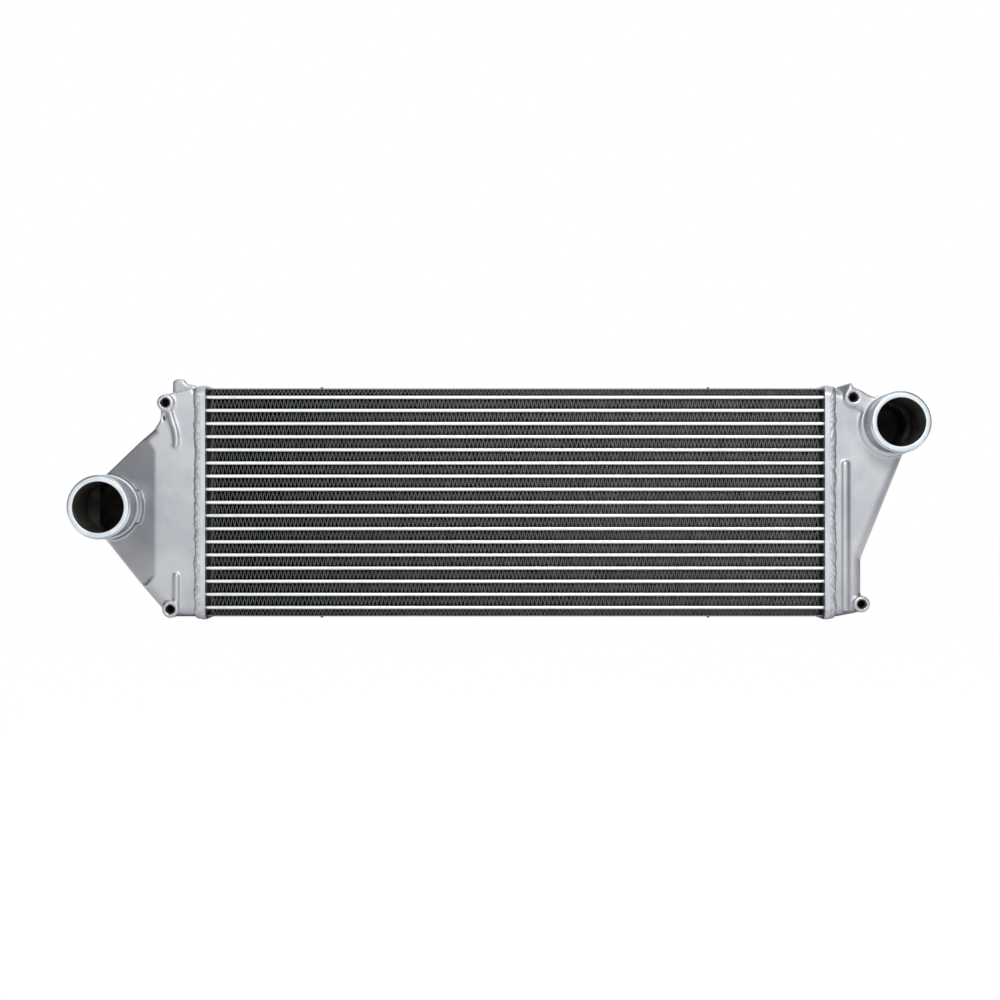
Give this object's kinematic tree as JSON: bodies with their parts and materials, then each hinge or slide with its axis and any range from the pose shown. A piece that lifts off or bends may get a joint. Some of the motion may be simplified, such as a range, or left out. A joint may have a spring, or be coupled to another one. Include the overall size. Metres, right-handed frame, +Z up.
{
  "type": "intercooler",
  "caption": "Charge-air cooler with a flat-tube and folded-fin core between cast end tanks, with beaded hose ports facing forward and cast mounting bosses.",
  "frame": {"origin": "under the middle of the part's outer box, on the surface that its two header plates stand on", "axes": "+X from the left tank to the right tank along the tubes, +Y back through the core away from the hose ports, +Z up"},
  "size_m": [0.8478, 0.1138, 0.2427],
  "materials": {
    "cast_tank": "fine-blasted casting",
    "header_sheet": "satin pressed sheet",
    "weld_metal": "rippled weld",
    "side_sheet": "satin sheet",
    "tube_sheet": "bright brazed tube",
    "inner_fin_foil": "mill foil",
    "air_fin_foil": "dull brazed foil"
  },
  "bodies": {
    "root": {"left_tank": "cast_tank", "right_tank": "cast_tank", "left_header": "header_sheet", "right_header": "header_sheet", "left_weld_bead": "weld_metal", "right_weld_bead": "weld_metal", "top_side_plate": "side_sheet", "bottom_side_plate": "side_sheet", "tube_01": "tube_sheet", "tube_02": "tube_sheet", "tube_03": "tube_sheet", "tube_04": "tube_sheet", "tube_05": "tube_sheet", "tube_06": "tube_sheet", "tube_07": "tube_sheet", "tube_08": "tube_sheet", "tube_09": "tube_sheet", "tube_10": "tube_sheet", "tube_11": "tube_sheet", "tube_12": "tube_sheet", "tube_13": "tube_sheet", "tube_14": "tube_sheet", "tube_15": "tube_sheet", "tube_16": "tube_sheet", "tube_17": "tube_sheet", "turbulator_01": "inner_fin_foil", "turbulator_02": "inner_fin_foil", "turbulator_03": "inner_fin_foil", "turbulator_04": "inner_fin_foil", "turbulator_05": "inner_fin_foil", "turbulator_06": "inner_fin_foil", "turbulator_07": "inner_fin_foil", "turbulator_08": "inner_fin_foil", "turbulator_09": "inner_fin_foil", "turbulator_10": "inner_fin_foil", "turbulator_11": "inner_fin_foil", "turbulator_12": "inner_fin_foil", "turbulator_13": "inner_fin_foil", "turbulator_14": "inner_fin_foil", "turbulator_15": "inner_fin_foil", "turbulator_16": "inner_fin_foil", "turbulator_17": "inner_fin_foil", "fin_01": "air_fin_foil", "fin_02": "air_fin_foil", "fin_03": "air_fin_foil", "fin_04": "air_fin_foil", "fin_05": "air_fin_foil", "fin_06": "air_fin_foil", "fin_07": "air_fin_foil", "fin_08": "air_fin_foil", "fin_09": "air_fin_foil", "fin_10": "air_fin_foil", "fin_11": "air_fin_foil", "fin_12": "air_fin_foil", "fin_13": "air_fin_foil", "fin_14": "air_fin_foil", "fin_15": "air_fin_foil", "fin_16": "air_fin_foil", "fin_17": "air_fin_foil", "fin_18": "air_fin_foil"}
  },
  "joints": []
}
